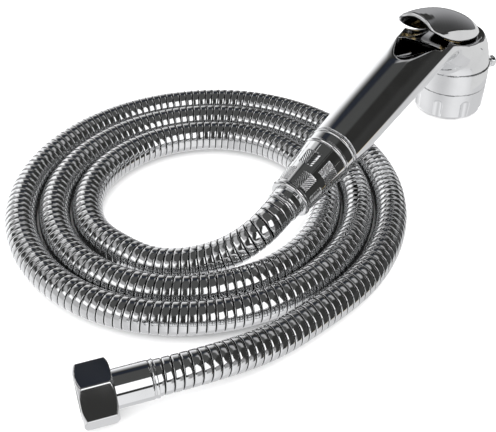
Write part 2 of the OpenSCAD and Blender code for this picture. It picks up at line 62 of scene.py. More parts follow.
# ---- Chrome ----
# Decorative chrome over nickel on brass and moulded parts: mirror bright, with the faint haze and wipe
# marks of a polished piece that has been handled. The marks come from one group, used by each finish.
def polish_group():
    g = bpy.data.node_groups.new("polish", "ShaderNodeTree")
    for name, kind, where in (
        ("Mark Size", "NodeSocketFloat", "INPUT"), ("Haze", "NodeSocketFloat", "INPUT"),
        ("Shine", "NodeSocketFloat", "INPUT"), ("Light", "NodeSocketColor", "INPUT"),
        ("Dull", "NodeSocketColor", "INPUT"),
        ("Color", "NodeSocketColor", "OUTPUT"), ("Roughness", "NodeSocketFloat", "OUTPUT"),
        ("Height", "NodeSocketFloat", "OUTPUT"),
    ):
        g.interface.new_socket(name=name, in_out=where, socket_type=kind)
    n, link = g.nodes, g.links.new
    gin, gout = n.new("NodeGroupInput"), n.new("NodeGroupOutput")
    where = n.new("ShaderNodeTexCoord")
    cloud = n.new("ShaderNodeTexNoise")
    cloud.inputs["Detail"].default_value = 4
    link(where.outputs["Object"], cloud.inputs["Vector"])
    link(gin.outputs["Mark Size"], cloud.inputs["Scale"])
    spread = n.new("ShaderNodeMapRange")
    spread.inputs["From Min"].default_value = 0.42
    spread.inputs["From Max"].default_value = 0.72
    link(cloud.outputs["Fac"], spread.inputs["Value"])
    # fine wipe marks, long one way
    stretch = n.new("ShaderNodeMapping")
    stretch.inputs["Scale"].default_value = (900, 2600, 1500)
    link(where.outputs["Object"], stretch.inputs["Vector"])
    wipe = n.new("ShaderNodeTexNoise")
    wipe.inputs["Scale"].default_value = 1
    wipe.inputs["Detail"].default_value = 2
    link(stretch.outputs["Vector"], wipe.inputs["Vector"])
    rough = n.new("ShaderNodeMath")
    rough.operation = "MULTIPLY_ADD"
    link(spread.outputs["Result"], rough.inputs[0])
    link(gin.outputs["Haze"], rough.inputs[1])
    link(gin.outputs["Shine"], rough.inputs[2])
    tone = n.new("ShaderNodeMix")
    tone.data_type = "RGBA"
    link(spread.outputs["Result"], tone.inputs["Factor"])
    link(gin.outputs["Light"], tone.inputs["A"])
    link(gin.outputs["Dull"], tone.inputs["B"])
    link(tone.outputs["Result"], gout.inputs["Color"])
    link(rough.outputs[0], gout.inputs["Roughness"])
    link(wipe.outputs["Fac"], gout.inputs["Height"])
    return g


polish = polish_group()


def metal(name, light, dull, shine, haze, mark_size, relief=0.02):
    m = bpy.data.materials.new(name)
    m.use_nodes = True
    n, link = m.node_tree.nodes, m.node_tree.links.new
    shader = n["Principled BSDF"]
    shader.inputs["Metallic"].default_value = 1
    marks = n.new("ShaderNodeGroup")
    marks.node_tree = polish
    marks.inputs["Mark Size"].default_value = mark_size
    marks.inputs["Haze"].default_value = haze
    marks.inputs["Shine"].default_value = shine
    marks.inputs["Light"].default_value = (*light, 1)
    marks.inputs["Dull"].default_value = (*dull, 1)
    bump = n.new("ShaderNodeBump")
    bump.inputs["Strength"].default_value = relief
    bump.inputs["Distance"].default_value = 0.00002
    link(marks.outputs["Height"], bump.inputs["Height"])
    # painted shade: points that the mesh marks as deep in a groove or hollow get a near-black colour in place of
    # the metal's
    painted_shade = n.new("ShaderNodeAttribute")
    painted_shade.attribute_name = "painted_shade"
    shade_mix = n.new("ShaderNodeMix")
    shade_mix.data_type = "RGBA"
    shade_mix.inputs["B"].default_value = (0.035, 0.034, 0.034, 1)
    link(painted_shade.outputs["Fac"], shade_mix.inputs["Factor"])
    link(marks.outputs["Color"], shade_mix.inputs["A"])
    link(shade_mix.outputs["Result"], shader.inputs["Base Color"])
    link(marks.outputs["Roughness"], shader.inputs["Roughness"])
    link(bump.outputs["Normal"], shader.inputs["Normal"])
    return m


chrome = metal("chrome", (0.9, 0.905, 0.91), (0.84, 0.845, 0.85), 0.03, 0.05, 60)
hose_chrome = metal("hose_chrome", (0.88, 0.885, 0.89), (0.8, 0.805, 0.81), 0.06, 0.06, 90)


# ---- Hose ----
# A 14 mm shower hose, 1.34 m long: a chromed strip wound round a water tube, each turn hooked over the
# last, so that it shows crowned bands with a narrow groove between. It drops from the handle to the
# floor, winds outwards in three flat turns and runs off to the tap nut.
hose_d_mm = 14
strip_mm = 3.48
slope = math.radians(12.5)
ferrule_end_mm = 156
exit_mm = np.array([-ferrule_end_mm * math.cos(slope), 0, 58.6 - ferrule_end_mm * math.sin(slope)])
exit_way = np.array([-math.cos(slope), 0, -math.sin(slope)])
coil_r_mm, coil_pitch_mm, coil_oval_mm, oval_turn = 43.2, 14.8, 2, 56
coil_mid = (exit_mm[0] - 1.2, coil_r_mm + 2.3)
coil_from, coil_ease, coil_to, coil_tuck_mm = 95, 140, 1091, 2.4
lead_via = [(34, 0.5, 12), (52, 0, 9.5), (59, -0.8, 8)]
tail_via = [(-33, 10, 9)]
nut_af_mm, nut_turn, tap_heading = 22, 4, math.radians(147)
tail_end = (-61, 25, nut_af_mm / math.sqrt(3) * math.cos(math.radians(30 - nut_turn)))


def turn_at(a, out=0.0, z=7.0):
    r = coil_r_mm + coil_pitch_mm * a / 360 + coil_oval_mm * math.cos(2 * math.radians(a + oval_turn)) + out
    t = math.radians(-90 - a)
    return np.array([coil_mid[0] + r * math.cos(t), coil_mid[1] + r * math.sin(t), z])


def turn_way(a):
    d = turn_at(a + 0.5) - turn_at(a - 0.5)
    return d / np.linalg.norm(d)


def bend(p, t):
    u = 1 - t
    return u ** 3 * p[0] + 3 * t * u * u * p[1] + 3 * t * t * u * p[2] + t ** 3 * p[3]


def through(p):
    line = [p[0]]
    for i in range(1, len(p) - 2):
        span = [p[i], p[i] + (p[i + 1] - p[i - 1]) / 6, p[i + 1] - (p[i + 2] - p[i]) / 6, p[i + 1]]
        line += [bend(span, t) for t in np.arange(0, 0.96, 0.1)]
    return line + [p[-2], p[-1]]


def evenly(line, step):
    line = np.array(line)
    at = np.concatenate([[0], np.cumsum(np.linalg.norm(np.diff(line, axis=0), axis=1))])
    d = np.linspace(0, at[-1], int(round(at[-1] / step)) + 1)
    return np.stack([np.interp(d, at, line[:, k]) for k in range(3)], 1), at[-1]


def eased(line, reach):
    """The line without the kinks of its joins: a soft mean that keeps the radius of a steady bend."""
    weight = np.exp(-0.5 * (np.arange(-3 * reach, 3 * reach + 1) / reach) ** 2)
    weight /= weight.sum()

    def mean(q):
        n = 3 * reach
        long = np.vstack([2 * q[0] - q[n:0:-1], q, 2 * q[-1] - q[-2:-n - 2:-1]])
        return np.stack([np.convolve(long[:, k], weight, "valid") for k in range(3)], 1)
    soft = mean(line)
    return 2 * soft - mean(soft)


join = turn_at(coil_from, -coil_tuck_mm)
join_way = turn_way(coil_from)
lead = through([exit_mm, exit_mm + hose_d_mm * exit_way, *[turn_at(*v) for v in lead_via],
                join - hose_d_mm * join_way, join])
ease = [join + hose_d_mm * join_way, join + 1.3 * hose_d_mm * join_way,
        turn_at(coil_ease) - 0.6 * hose_d_mm * turn_way(coil_ease), turn_at(coil_ease)]
coil = [bend(ease, t) for t in np.arange(0, 0.97, 0.05)] + [turn_at(a) for a in range(coil_ease, coil_to + 1, 3)]
leave = turn_at(coil_to) + hose_d_mm * turn_way(coil_to)
tap_way = np.array([math.cos(tap_heading), math.sin(tap_heading), 0])
under = np.array([leave[0], leave[1], 0])
tap_mm = under + np.array(tail_end)
tail = through([leave, leave + hose_d_mm * turn_way(coil_to), *[under + np.array(v) for v in tail_via],
                tap_mm - hose_d_mm * tap_way, tap_mm])
route, hose_length_mm = evenly(lead + coil + tail[1:], 1.0)
start = exit_mm - np.outer(np.arange(48, 0, -1), exit_way)
held = np.clip(np.arange(len(route)) / 16, 0, 1)[:, None]
held = held * held * (3 - 2 * held)
route = held * eased(np.vstack([start, route]), 10)[48:] + (1 - held) * route
route, hose_length_mm = evenly(route, 1.0)

# the strip's section over one turn: [distance along, depth below the hose's outside, lean of the face]
strip = [(0.00, 0.60, 70), (0.06, 0.32, 66), (0.15, 0.12, 40), (0.32, 0.03, 14), (0.85, 0.0, 3),
         (2.37, 0.0, -3), (2.90, 0.03, -14), (3.07, 0.12, -40), (3.16, 0.32, -66), (3.22, 0.60, -70)]
round_count = 25


def skin_object(name, points_mm, faces, normals=None, painted_shade=None):
    """A mesh object from points in millimetres, without the points that no face uses.

    The shade mark is 1 where a point lies deep in a groove or a hollow, and there the finish paints shade by
    turning its colour near black.
    """
    faces = np.array(faces)
    used, back = np.unique(faces, return_inverse=True)
    m = bpy.data.meshes.new(name)
    m.from_pydata((np.array(points_mm)[used] / 1000).tolist(), [], back.reshape(faces.shape).tolist())
    m.validate()
    m.shade_smooth()
    if normals is not None:
        m.normals_split_custom_set_from_vertices(np.array(normals)[used].tolist())
    if painted_shade is not None:
        mark = m.attributes.new("painted_shade", "FLOAT", "POINT")
        mark.data.foreach_set("value", np.clip(painted_shade, 0, 1)[used].astype(float))
    o = bpy.data.objects.new(name, m)
    bpy.context.scene.collection.objects.link(o)
    return o


def wound_mesh(name, line, length, section, pitch, radius, around):
    """A strip wound round a line. Each ring of the mesh climbs one pitch, so that the grooves are a helix."""
    way = np.gradient(line, axis=0)
    way /= np.linalg.norm(way, axis=1)[:, None]
    at = np.linspace(0, length, len(line))
    turns = int(round(length / pitch))
    pitch = length / turns
    s0 = np.array([(k + q[0] / strip_mm) * pitch for k in range(-1, turns + 1) for q in section])
    depth = np.tile([q[1] for q in section], turns + 2)
    lean = np.radians(np.tile([q[2] for q in section], turns + 2))
    j = np.arange(around)
    s = np.clip(s0[:, None] + pitch * j[None, :] / around, 0, length)
    mid = np.stack([np.interp(s, at, line[:, k]) for k in range(3)], -1)
    ahead = np.stack([np.interp(s, at, way[:, k]) for k in range(3)], -1)
    ahead /= np.linalg.norm(ahead, axis=-1)[..., None]
    side = np.cross(ahead, [0, 0, 1])
    side /= np.linalg.norm(side, axis=-1)[..., None]
    up = np.cross(side, ahead)
    turn = 2 * np.pi * j / around
    out = np.cos(turn)[None, :, None] * side + np.sin(turn)[None, :, None] * up
    points = mid + (radius - depth)[:, None, None] * out
    normals = np.cos(lean)[:, None, None] * out - np.sin(lean)[:, None, None] * ahead
    rows, per = len(s0), len(section)
    faces = []
    for i in range(rows - 1):
        for k in range(around):
            a, b = (i, k), (i + 1, k)
            if k + 1 < around:
                c, d = (i + 1, k + 1), (i, k + 1)
            elif i + 1 + per < rows:
                c, d = (i + 1 + per, 0), (i + per, 0)
            else:
                continue
            if max(s[a], s[b], s[c], s[d]) - min(s[a], s[b], s[c], s[d]) < 1e-6:
                continue
            faces.append([q[0] * around + q[1] for q in (a, b, c, d)])
    # painted shade: the bottoms of the grooves are marked to take a near-black colour
    groove = np.repeat((depth - 0.1) / 0.25, around)
    return skin_object(name, points.reshape(-1, 3), faces, normals.reshape(-1, 3), groove)


hose = wound_mesh("ribbed_hose", route, hose_length_mm, strip, strip_mm, hose_d_mm / 2, round_count)
hose.data.materials.append(hose_chrome)
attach(hose, "handset")
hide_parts("hose_lead", "hose_coil", "hose_tail")


# ---- Body ----
# Head dome, neck and tapered handle, cast in one piece in brass, then polished and chromed. A hollow for
# the lever, a thumb scoop and the valve's bores are cut into it.
tilt = (math.cos(slope), math.sin(slope))
handle_rise_mm, handle_len_mm, handle_r_mm, handle_taper = 58.6, 115.5, 14.2, 0.02338
dome_r_mm, dome_off_mm, dome_mid_mm, dome_foot_mm, crown_mm = 42, 23.5, 20, 26.5, 57
neck_foot_mm, neck_run_mm, neck_r_mm, neck_end_r_mm = 32.5, 26, 15.6, 13.2
scoop_from_mm, scoop_to_mm, scoop_z_mm, scoop_r_mm, scoop_end_r_mm, scoop_squeeze = 39, 60.5, 59.5, 10.6, 3.3, 0.82
socket_r_mm, socket_deep_mm, valve_x = 7.82, 12, -4
# the valve's and the hub's bores: how far in front of the head's axis, radius, lowest and highest point
bores = [(valve_x, 4.6, 25, 35), (valve_x, 3.92, 25, 60), (valve_x, 5.6, 42.5, 60), (0, 10.52, 25, 31.02)]
lever_line = [(1.5, 39.2, -0.5), (18.4, 50.1, 0), (34, 57.6, 0.2), (49.4, 62.4, 0.4), (57, 64.1, 0.5)]
lever_rim = [(-14, 43), (24, 40.5), (64, 79.5)]
lever_r_mm, lever_wall_mm, lever_end_mm, lever_travel = 11.3, 1.8, 51.6, 6
pin_mm, pin_hole_r_mm, pin_hole_half_mm = (-5.5, 39), 1.52, 8.52


def soft_min(a, b, k):
    h = np.clip(0.5 + 0.5 * (b - a) / k, 0, 1)
    return b + (a - b) * h - k * h * (1 - h)


def soft_max(a, b, k):
    return -soft_min(-a, -b, k)


def ball_sweep(p, a, b, r_a, r_b):
    """Distance to the skin round a ball that moves from a to b and changes its radius."""
    a, b = np.array(a, float), np.array(b, float)
    span = np.linalg.norm(b - a)
    rel = p - a
    h = rel @ ((b - a) / span)
    beside = np.sqrt(np.maximum((rel * rel).sum(-1) - h * h, 0))
    k = (r_a - r_b) / span
    at = np.clip(h - beside * k / math.sqrt(1 - k * k), 0, span)
    return np.hypot(h - at, beside) - (r_a - k * at)


def bore(p, x, r, low, high):
    return np.maximum(np.hypot(p[..., 0] - x, p[..., 1]) - r, np.maximum(low - p[..., 2], p[..., 2] - high))


def turned_lever(t, z, angle):
    """A place in the side view, [behind the head's axis, height], as the lever has it when it is pressed."""
    c, s = math.cos(math.radians(angle)), math.sin(math.radians(angle))
    a, b = t - pin_mm[0], z - pin_mm[1]
    return pin_mm[0] + a * c - b * s, pin_mm[1] + a * s + b * c


def above_rim(t, z, drop):
    """Height over the lever's rim line, a curve from the nose of the lever up to its tail."""
    u = (-76 + np.sqrt(76 ** 2 + 8 * np.maximum(t - lever_rim[0][0], 0))) / 4
    rise = (83 * u - 5) / (4 * u + 76)
    return (z - (43 - 5 * u + 41.5 * u * u - drop)) / np.sqrt(1 + rise * rise)


def smooth_line(points, count):
    points = np.array(points, float)
    at = np.concatenate([[0], np.cumsum(np.linalg.norm(np.diff(points[:, :2], axis=0), axis=1))])
    fit = np.linspace(0, at[-1], count)
    return np.stack([np.polyval(np.polyfit(at, points[:, k], 3), fit) for k in range(points.shape[1])], 1)


hood_line = smooth_line(lever_line, 22)


def hood(p, angle=0):
    """Distance to the lever's solid outside: balls along its line, with flat sides down to their chord."""
    t, z = -p[..., 0], p[..., 2]
    if angle:
        t, z = turned_lever(t, z, angle)
    near = np.full(t.shape, 1e9)
    inside = np.ones(t.shape, bool)
    loop = np.vstack([hood_line, hood_line[:1]])
    for a, b in zip(loop[:-1], loop[1:]):
        d = (b - a)[:2]
        f = np.clip(((t - a[0]) * d[0] + (z - a[1]) * d[1]) / (d @ d), 0, 1)
        near = np.minimum(near, np.hypot(t - a[0] - f * d[0], z - a[1] - f * d[1]))
        inside &= (z - a[1]) * d[0] - (t - a[0]) * d[1] <= 0
    near = np.where(inside, 0, near)
    inset = np.interp(t, hood_line[:, 0], hood_line[:, 2])
    return np.hypot(p[..., 1], near) - (lever_r_mm - inset)


def handset_outside(p):
    x, y, z = p[..., 0], p[..., 1], p[..., 2]
    s = -x * tilt[0] - (z - handle_rise_mm) * tilt[1]
    up = (z - handle_rise_mm) * tilt[0] - x * tilt[1]
    barrel = np.hypot(up, y) - (handle_r_mm - handle_taper * s)
    barrel = soft_max(np.maximum(barrel, -2 - s), s - handle_len_mm, 0.4)
    wide = np.hypot(x, y)
    dome = soft_max(np.hypot(wide + dome_off_mm, z - dome_mid_mm) - dome_r_mm, dome_foot_mm - z, 0.3)
    neck_end = (-neck_run_mm * tilt[0], 0, handle_rise_mm - neck_run_mm * tilt[1])
    neck = np.maximum(ball_sweep(p, (0, 0, neck_foot_mm), neck_end, neck_r_mm, neck_end_r_mm), dome_foot_mm - z)
    skin = soft_min(soft_min(dome, neck, 3), barrel, 2.5)
    skin = soft_max(skin, above_rim(-x, z, 1), 0.7)
    skin = soft_max(skin, z - crown_mm, 0.8)
    scoop = ball_sweep(p * (1, scoop_squeeze, 1), (-scoop_from_mm, 0, scoop_z_mm), (-scoop_to_mm, 0, scoop_z_mm),
                       scoop_r_mm, scoop_end_r_mm)
    return soft_max(skin, -scoop, 0.8)


def handset_skin(p):
    x, y, z = p[..., 0], p[..., 1], p[..., 2]
    s = -x * tilt[0] - (z - handle_rise_mm) * tilt[1]
    up = (z - handle_rise_mm) * tilt[0] - x * tilt[1]
    skin = handset_outside(p)
    room = np.maximum(above_rim(-x, z, 0.7), above_rim(*turned_lever(-x, z, lever_travel), 0.7))
    skin = soft_max(skin, -np.maximum(soft_min(hood(p), hood(p, lever_travel), 0.5) - 0.7, -room), 0.5)
    slot = np.maximum(np.maximum(np.abs(y) - 3.65, np.abs(x - 5.2) - 4.2), 38 - z)
    pin_hole = np.maximum(np.hypot(x + pin_mm[0], z - pin_mm[1]) - pin_hole_r_mm, np.abs(y) - pin_hole_half_mm)
    socket = np.maximum(np.hypot(up, y) - socket_r_mm, handle_len_mm - socket_deep_mm - s)
    for hole in (slot, pin_hole, socket, *(bore(p, *sizes) for sizes in bores)):
        skin = np.maximum(skin, -hole)
    return skin


def slope_of(distance, p, e=0.03):
    return np.stack([distance(p + v) - distance(p - v) for v in np.eye(3) * e], -1) / (2 * e)


def net_of(distance, low, high, step):
    """Points, quads and normals of a distance field's zero skin: found on a grid, then pulled onto the skin."""
    axes = [np.arange(a, b + step, step) for a, b in zip(low, high)]
    grid = np.stack(np.meshgrid(*axes, indexing="ij"), -1)
    d = distance(grid)
    size = np.array(d.shape)
    total, count = np.zeros((*(size - 1), 3)), np.zeros(size - 1)
    full = [slice(0, -1), slice(1, None)]
    for axis in range(3):
        u, v = (axis + 1) % 3, (axis + 2) % 3
        for i in (0, 1):
            for j in (0, 1):
                a, b = [None] * 3, [None] * 3
                a[axis], b[axis] = full
                a[u] = b[u] = full[i]
                a[v] = b[v] = full[j]
                da, db = d[tuple(a)], d[tuple(b)]
                cut = (da < 0) != (db < 0)
                f = np.where(cut, da / np.where(cut, da - db, 1), 0)[..., None]
                total += np.where(cut[..., None], grid[tuple(a)] * (1 - f) + grid[tuple(b)] * f, 0)
                count += cut
    index = np.full(size - 1, -1)
    index[count > 0] = np.arange((count > 0).sum())
    points = total[count > 0] / count[count > 0][:, None]
    faces = []
    for axis in range(3):
        u, v = np.eye(3, dtype=int)[(axis + 1) % 3], np.eye(3, dtype=int)[(axis + 2) % 3]
        a = np.take(d, np.arange(size[axis] - 1), axis) < 0
        b = np.take(d, np.arange(1, size[axis]), axis) < 0
        at = np.argwhere(a != b)
        keep = ((at - u - v >= 0) & (at < size - 1)).all(1)
        at = at[keep]
        quad = np.stack([index[tuple(q.T)] for q in (at, at - u, at - u - v, at - v)], 1)
        flip = b[tuple(at.T)]
        quad[flip] = quad[flip][:, ::-1]
        faces.append(quad)
    for _ in range(5):
        g = slope_of(distance, points)
        move = distance(points)[:, None] * g / np.maximum((g * g).sum(1), 0.05)[:, None]
        points -= np.clip(move, -step / 2, step / 2)
    g = slope_of(distance, points, 0.06)
    return points, np.vstack(faces), g / np.linalg.norm(g, axis=1)[:, None]


body_net = net_of(handset_skin, (-117, -19.6, 25.6), (19.6, 19.6, 63.6), 0.55)
# painted shade: surfaces 1.8 mm and more inside the outside skin, the lever's hollow and the bores, are marked to
# take a near-black colour
body = skin_object("handset_body", *body_net, (-handset_outside(body_net[0]) - 1.8) / 1)
body.data.materials.append(chrome)
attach(body, "handset")
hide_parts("body")

# ---- Thumb lever ----
# A die-cast hood, chromed, with a rolled bright rim. A tab under it holds the pin, and a pad under its
# nose presses the valve's stem.
pad_r_mm, pad_foot_mm, tab_half_mm, eye_r_mm = 3, 46.42, 3.2, 1.56


def lever_skin(p):
    x, y, z = p[..., 0], p[..., 1], p[..., 2]
    outside = hood(p)
    wall = lever_wall_mm + 0.9 * np.clip((-x - 38) / 10, 0, 1)
    shell = soft_max(outside, -outside - wall, 0.3)
    cut = soft_max(-above_rim(-x, z, 0), -x - lever_end_mm, 3)
    shell = soft_max(shell, cut, 1.2)
    pad = np.maximum(np.hypot(x - valve_x, y) - pad_r_mm, pad_foot_mm - z)
    off_pin = np.hypot(x + pin_mm[0], z - pin_mm[1])
    web = np.maximum(np.abs(x + pin_mm[0]) - tab_half_mm, pin_mm[1] - z)
    tab = np.maximum(np.abs(y) - tab_half_mm, soft_min(off_pin - tab_half_mm, web, 0.3))
    inner = np.minimum(pad, tab)
    skin = soft_min(shell, np.maximum(inner, outside + 0.9), 0.6)
    return np.maximum(skin, -np.maximum(off_pin - eye_r_mm, np.abs(y) - 5))


lever_net = net_of(lever_skin, (-53, -12, 34.8), (14.6, 12, 76), 0.42)
# painted shade: the inside of the hood and the tab and pad under it are marked to take a near-black colour
lever = skin_object("thumb_lever", *lever_net, (-hood(lever_net[0]) - 1.4) / 0.3)
lever.data.materials.append(chrome)
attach(lever, "lever")
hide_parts("lever")

# ---- Head band and peg ----
# A plain chromed ring joins the head to the spray ring, with a hair-thin seam above and below. A small
# domed peg is pressed into its side.


def ring_skin(r, h, inner, outer, low, high, edge):
    """Distance to a turned ring with rounded edges, from the distance off its axis and the height on it."""
    return soft_max(np.abs(r - (inner + outer) / 2) - (outer - inner) / 2,
                    np.abs(h - (low + high) / 2) - (high - low) / 2, edge)


def ball_ended(r, h, low, high, radius, dome):
    """Distance to a rod whose far end is a cap of the dome radius that meets its side."""
    middle = high - math.sqrt(dome ** 2 - radius ** 2)
    return np.maximum(np.maximum(r - radius, low - h), np.hypot(r, h - middle) - dome)


def moved(points, normals, origin, across, beside, along):
    """Points and normals from a piece's own axes into the part's."""
    turn = np.array([across, beside, along], float)
    return points @ turn + np.array(origin), normals @ turn


def shaped(name, skin, low, high, step, finish, body_name, replaced, place=None):
    """A piece from its distance field: meshed, placed, given its finish and tied to its body."""
    points, faces, normals = net_of(skin, low, high, step)
    if place:
        points, normals = moved(points, normals, *place)
    piece = skin_object(name, points, faces, normals)
    piece.data.materials.append(finish)
    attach(piece, body_name)
    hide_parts(replaced)
    return piece


head_r_mm, hub_r_mm, ring_h_mm, seam_mm = 18.5, 12, 15, 0.2
band_low, band_high = ring_h_mm + seam_mm / 2, 26.4
peg_turn, peg_z, peg_r_mm, peg_head_r_mm = math.radians(-35), 21.08, 1.8, 3.1
peg_way = (math.cos(peg_turn), math.sin(peg_turn), 0)


def band_skin(p):
    along = p[..., 0] * peg_way[0] + p[..., 1] * peg_way[1]
    off = np.hypot(p[..., 1] * peg_way[0] - p[..., 0] * peg_way[1], p[..., 2] - peg_z)
    r = np.hypot(p[..., 0], p[..., 1])
    ring = ring_skin(r, p[..., 2], hub_r_mm + 0.02, head_r_mm, band_low, band_high, 0.25)
    return np.maximum(ring, -np.maximum(off - peg_r_mm - 0.03, hub_r_mm - along))


def peg_skin(p):
    r, h = np.hypot(p[..., 0], p[..., 1]), p[..., 2]
    stem = np.maximum(r - peg_r_mm, np.abs(h - 5.4) - 5.4)
    head = soft_max(ball_ended(r, h, 8.5, 10.5, peg_head_r_mm, 3.49), 8.5 - h, 0.4)
    return soft_min(stem, head, 0.4)


peg_foot = ((hub_r_mm + 1) * peg_way[0], (hub_r_mm + 1) * peg_way[1], peg_z)
shaped("head_band", band_skin, (-19, -19, 14.6), (19, 19, 27), 0.5, chrome, "handset", "head_band")
shaped("band_peg", peg_skin, (-3.6, -3.6, -0.4), (3.6, 3.6, 12.8), 0.25, chrome, "handset", "band_peg",
       (peg_foot, (0, 0, -1), (-peg_way[1], peg_way[0], 0), peg_way))

# ---- Spray ring ----
# Turned ring that holds the spray face: a rounded lower edge and eight thumb flutes, open at the bottom.
flute_count, flute_first, flute_r_mm, flute_mid_mm, flute_top_mm = 8, math.radians(10), 2.9, 19.6, 8.5
face_r_mm, face_hole_r_mm, hub_gap_mm, ring_edge_mm = 16.02, 15, 0.05, 2.0


def spray_ring_skin(p):
    r, h = np.hypot(p[..., 0], p[..., 1]), p[..., 2]
    side = r - np.interp(h, [0, ring_edge_mm, 11.25, ring_h_mm], [18, 18, 18.4, 18.5]) + ring_edge_mm
    under = ring_edge_mm - h
    corner = np.hypot(np.maximum(side, 0), np.maximum(under, 0))
    outer = np.minimum(np.maximum(side, under), 0) + corner - ring_edge_mm
    outer = soft_max(outer, h - ring_h_mm + seam_mm / 2, 0.25)
    step = 2 * math.pi / flute_count
    turn = (np.arctan2(p[..., 1], p[..., 0]) - flute_first + step / 2) % step - step / 2
    flute = np.sqrt((r * np.cos(turn) - flute_mid_mm) ** 2 + (r * np.sin(turn)) ** 2
                    + np.maximum(h - flute_top_mm, 0) ** 2) - flute_r_mm
    outer = soft_max(outer, -flute, 0.25)
    seat = np.maximum(r - face_r_mm, np.abs(h - 6.1) - 5.1)
    through_hole = np.minimum(r - hub_r_mm - hub_gap_mm, np.maximum(r - face_hole_r_mm, h - 2))
    return np.maximum(outer, -np.minimum(seat, through_hole))


shaped("spray_ring", spray_ring_skin, (-19, -19, -0.4), (19, 19, 15.4), 0.4, chrome, "spray_ring",
       "spray_ring")

# ---- Collar, sleeve nut and ferrules ----
# Turned brass, chromed, one behind the other on the handle's axis. The collar has two polished beads, and
# the sleeve nut six patches of chevron knurl in each of two rows, a scribed line to each, and a rolled lip.
on_handle = ((0, 0, handle_rise_mm), (-tilt[1], 0, tilt[0]), (0, 1, 0), (-tilt[0], 0, -tilt[1]))
collar_r_mm, bead_r_mm = 11.2, 0.85


def down_handle(s):
    """Place of a turned piece that starts at this distance along the handle."""
    return (tuple(np.array(on_handle[0]) + s * np.array(on_handle[3])), *on_handle[1:])


def collar_skin(p):
    r, h = np.hypot(p[..., 0], p[..., 1]), p[..., 2]
    skin = ring_skin(r, h, socket_r_mm, collar_r_mm, 0.02, 8.28, 0.3)
    for middle, height in ((10.85, 1.4), (10.78, 7.1)):
        skin = soft_min(skin, np.maximum(np.hypot(r - middle, h - height) - bead_r_mm, 8 - r), 0.15)
    return skin


nut_from, nut_long, sleeve_r_mm, sleeve_end_r_mm, lip_mm = 124.0, 26.5, 11.2, 9.2, 1.2
nut_hole_r_mm, nipple_room_r_mm, nipple_room_mm = 7.56, 9.36, 11.6
knurl_rows = ((9.0, 0.0), (19.6, 0.5))
knurl_half_mm, knurl_wide_mm, knurl_pitch_mm, knurl_depth_mm, scribe_deep_mm = 3.9, 3.7, 1.15, 0.3, 0.12


def sleeve_skin(p):
    r, h = np.hypot(p[..., 0], p[..., 1]), p[..., 2]
    turn = np.arctan2(p[..., 1], p[..., 0])
    cut = np.zeros(r.shape)
    for middle, shift in knurl_rows:
        off = ((turn / (math.pi / 3) + shift + 0.5) % 1 - 0.5) * (math.pi / 3)
        arc = np.abs(off) * 10.2
        ridge = np.abs(((h + arc * 0.9) / knurl_pitch_mm) % 1 - 0.5) * 2
        room = np.minimum(knurl_half_mm - np.abs(h - middle), knurl_wide_mm - arc)
        cut = np.maximum(cut, knurl_depth_mm * ridge * np.clip(room / 0.5, 0, 1))
        line = np.clip(1 - arc / 0.2, 0, 1) * np.clip(h - 0.6, 0, 1)
        cut = np.maximum(cut, scribe_deep_mm * line * np.clip((middle - knurl_half_mm - h) / 0.4, 0, 1))
    outer = (r - (sleeve_r_mm - (sleeve_r_mm - sleeve_end_r_mm) * h / (nut_long - 2 * lip_mm)) + cut) * 0.996
    outer = soft_max(np.maximum(outer, h - nut_long + lip_mm), -h, 0.35)
    lip = np.maximum(np.hypot(r - 8.5, h - nut_long + lip_mm) - lip_mm, 7.9 - r)
    lip = np.minimum(lip, np.maximum(np.abs(h - nut_long + lip_mm) - lip_mm, np.abs(r - 8) - 0.5))
    skin = soft_min(outer, lip, 0.5)
    inside = np.minimum(r - nut_hole_r_mm, np.maximum(r - nipple_room_r_mm, h - nipple_room_mm))
    return np.maximum(skin, -inside)


barb_r_mm, ferrule_r_mm, flange_r_mm, crimp_r_mm = 3.72, 7.5, 8.9, 0.5


def crimped(skin, r, h, at_mm):
    """A ferrule with the round crimp groove that holds the hose on its barb."""
    return soft_max(skin, -(np.hypot(r - ferrule_r_mm - 0.25, h - at_mm) - crimp_r_mm), 0.15)


def ferrule_skin(p):
    r, h = np.hypot(p[..., 0], p[..., 1]), p[..., 2]
    flange = ring_skin(r, h, barb_r_mm, flange_r_mm, 0, 2.6, 0.3)
    return crimped(np.minimum(ring_skin(r, h, barb_r_mm, ferrule_r_mm, 0, 23.2, 0.4), flange), r, h, 21.6)


shaped("handle_collar", collar_skin, (-12.3, -12.3, -0.5), (12.3, 12.3, 8.9), 0.3, chrome, "handset",
       "handle_collar", down_handle(handle_len_mm))
shaped("sleeve_nut", sleeve_skin, (-11.8, -11.8, -0.5), (11.8, 11.8, 27), 0.23, chrome, "sleeve_nut",
       "sleeve_nut", down_handle(nut_from))
shaped("sleeve_ferrule", ferrule_skin, (-9.4, -9.4, -0.4), (9.4, 9.4, 23.6), 0.4, chrome, "handset",
       "sleeve_ferrule", down_handle(132.8))

# ---- Tap end ----
# A smooth crimped ferrule and a chromed hexagonal nut, chamfered at both ends and cut inside with the
# thread of a half-inch tap. The nut turns on the ferrule.
at_tap = (tuple(tap_mm), (0, 0, -1), (-tap_way[1], tap_way[0], 0), tuple(tap_way))
nut_corner_turn = math.radians(nut_turn)
nut_from_mm, nut_long_mm, thread_r_mm, thread_pitch_mm = 15.8, 13, 9.3, 1.814


def tap_ferrule_skin(p):
    r, h = np.hypot(p[..., 0], p[..., 1]), p[..., 2]
    return crimped(ring_skin(r, h, barb_r_mm, ferrule_r_mm, 0, 18.5, 0.4), r, h, 1.7)


